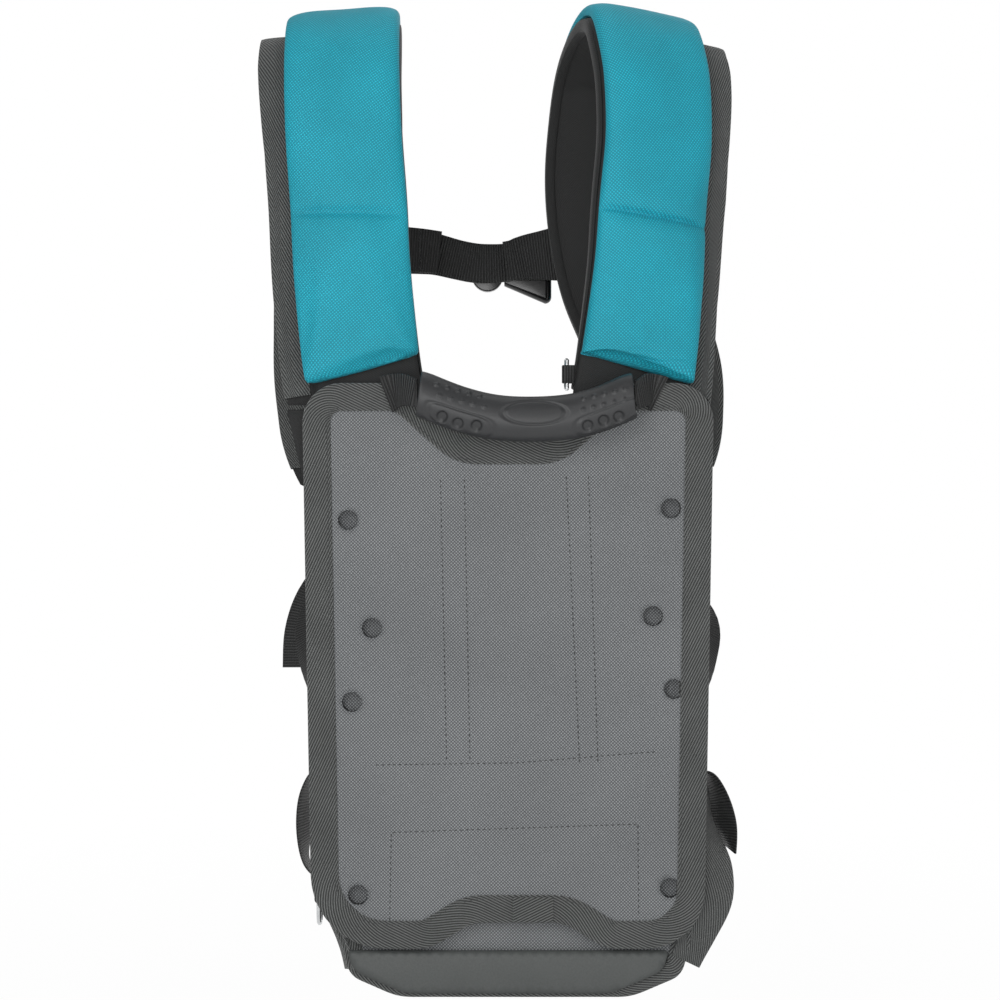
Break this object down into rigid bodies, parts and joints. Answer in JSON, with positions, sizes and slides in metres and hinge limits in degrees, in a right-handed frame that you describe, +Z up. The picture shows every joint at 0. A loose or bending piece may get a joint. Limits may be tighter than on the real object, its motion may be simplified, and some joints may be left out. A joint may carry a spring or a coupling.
{
  "type": "backpack carrying harness",
  "caption": "Padded carrying harness of a backpack leaf blower: canvas panel bolted to the machine, back pad, two shoulder straps with a chest strap, carry grip, webbing and buckles.",
  "frame": {"origin": "middle of the panel's flat face that is bolted to the machine", "axes": "+Z up along the panel, +X to the right seen from the machine, +Y towards the wearer"},
  "size_m": [0.2945, 0.182, 0.6135],
  "materials": {
    "canvas": "coated canvas, fine check weave",
    "twill_tape": "diagonal twill binding tape",
    "webbing": "ribbed flat webbing",
    "strap_fabric": "smooth woven lining over foam",
    "foam": "closed-cell foam",
    "rear_mesh": "spacer mesh",
    "lumbar_vinyl": "smooth coated fabric",
    "board": "matt stiffener sheet",
    "teal_cover": "soft teal knit with a slight sheen",
    "moulded_black": "satin moulded plastic",
    "zinc_plate": "bright zinc plate"
  },
  "bodies": {
    "panel": {"outer_cover": "canvas", "cover_binding": "twill_tape", "binding_lap": "twill_tape", "reinforcement_left": "webbing", "reinforcement_right": "webbing", "cross_webbing": "webbing", "pocket_patch": "canvas", "back_board": "board", "pad_front_canvas": "canvas", "pad_binding": "twill_tape", "back_pad": "foam", "rear_cover": "rear_mesh", "lumbar_band": "lumbar_vinyl", "strap_foot_left": "strap_fabric", "strap_foot_right": "strap_fabric", "ring_tab": "webbing", "grip_anchor_left": "webbing", "grip_anchor_right": "webbing", "side_loop_left": "webbing", "side_loop_right": "webbing", "gusset_left": "twill_tape", "gusset_right": "twill_tape", "adjuster_webbing_left": "webbing", "adjuster_webbing_right": "webbing"},
    "shoulder_straps": {"strap_base_left": "strap_fabric", "strap_base_right": "strap_fabric", "outer_binding_left": "twill_tape", "outer_binding_right": "twill_tape", "inner_tape_left": "webbing", "inner_tape_right": "webbing", "strap_pad_left": "teal_cover", "strap_pad_right": "teal_cover", "chest_webbing_left": "webbing", "chest_webbing_right": "webbing", "buckle_socket": "moulded_black", "upper_ring_keeper": "webbing", "lock_keeper_left": "webbing", "lock_keeper_right": "webbing"},
    "buckle_plug": {"buckle_plug": "moulded_black"},
    "grip": {"grip_sleeve": "moulded_black", "grip_webbing": "webbing"},
    "upper_ring": {"upper_ring": "zinc_plate"},
    "lower_ring": {"lower_ring": "zinc_plate"},
    "ladder_lock_left": {"ladder_lock_left": "moulded_black"},
    "ladder_lock_right": {"ladder_lock_right": "moulded_black"}
  },
  "joints": [
    {"name": "strap_swing", "type": "hinge", "parent": "panel", "child": "shoulder_straps", "pos_m": [0, 0.0093, 0.172], "axis": [1, 0, 0], "range_deg": [-20, 5], "deforming": ["adjuster_webbing_left", "adjuster_webbing_right"]},
    {"name": "chest_buckle_pull", "type": "slide", "parent": "shoulder_straps", "child": "buckle_plug", "axis": [-1, 0, 0], "range_m": [0, 0.022]},
    {"name": "grip_swing", "type": "hinge", "parent": "panel", "child": "grip", "pos_m": [0, -0.0158, 0.1745], "axis": [1, 0, 0], "range_deg": [-120, 0]},
    {"name": "upper_ring_swing", "type": "hinge", "parent": "shoulder_straps", "child": "upper_ring", "pos_m": [0.03553, 0.01148, 0.187], "axis": [0, 0, 1], "range_deg": [0, 120]},
    {"name": "lower_ring_swing", "type": "hinge", "parent": "panel", "child": "lower_ring", "pos_m": [-0.11388, 0.014, -0.13], "axis": [0, 1, 0], "range_deg": [0, 100]},
    {"name": "lock_tilt_left", "type": "hinge", "parent": "shoulder_straps", "child": "ladder_lock_left", "pos_m": [-0.101, 0.1095, 0.1035], "axis": [1, 0, 0], "range_deg": [0, 25]},
    {"name": "lock_tilt_right", "type": "hinge", "parent": "shoulder_straps", "child": "ladder_lock_right", "pos_m": [0.095, 0.1095, 0.1035], "axis": [1, 0, 0], "range_deg": [0, 25]}
  ]
}
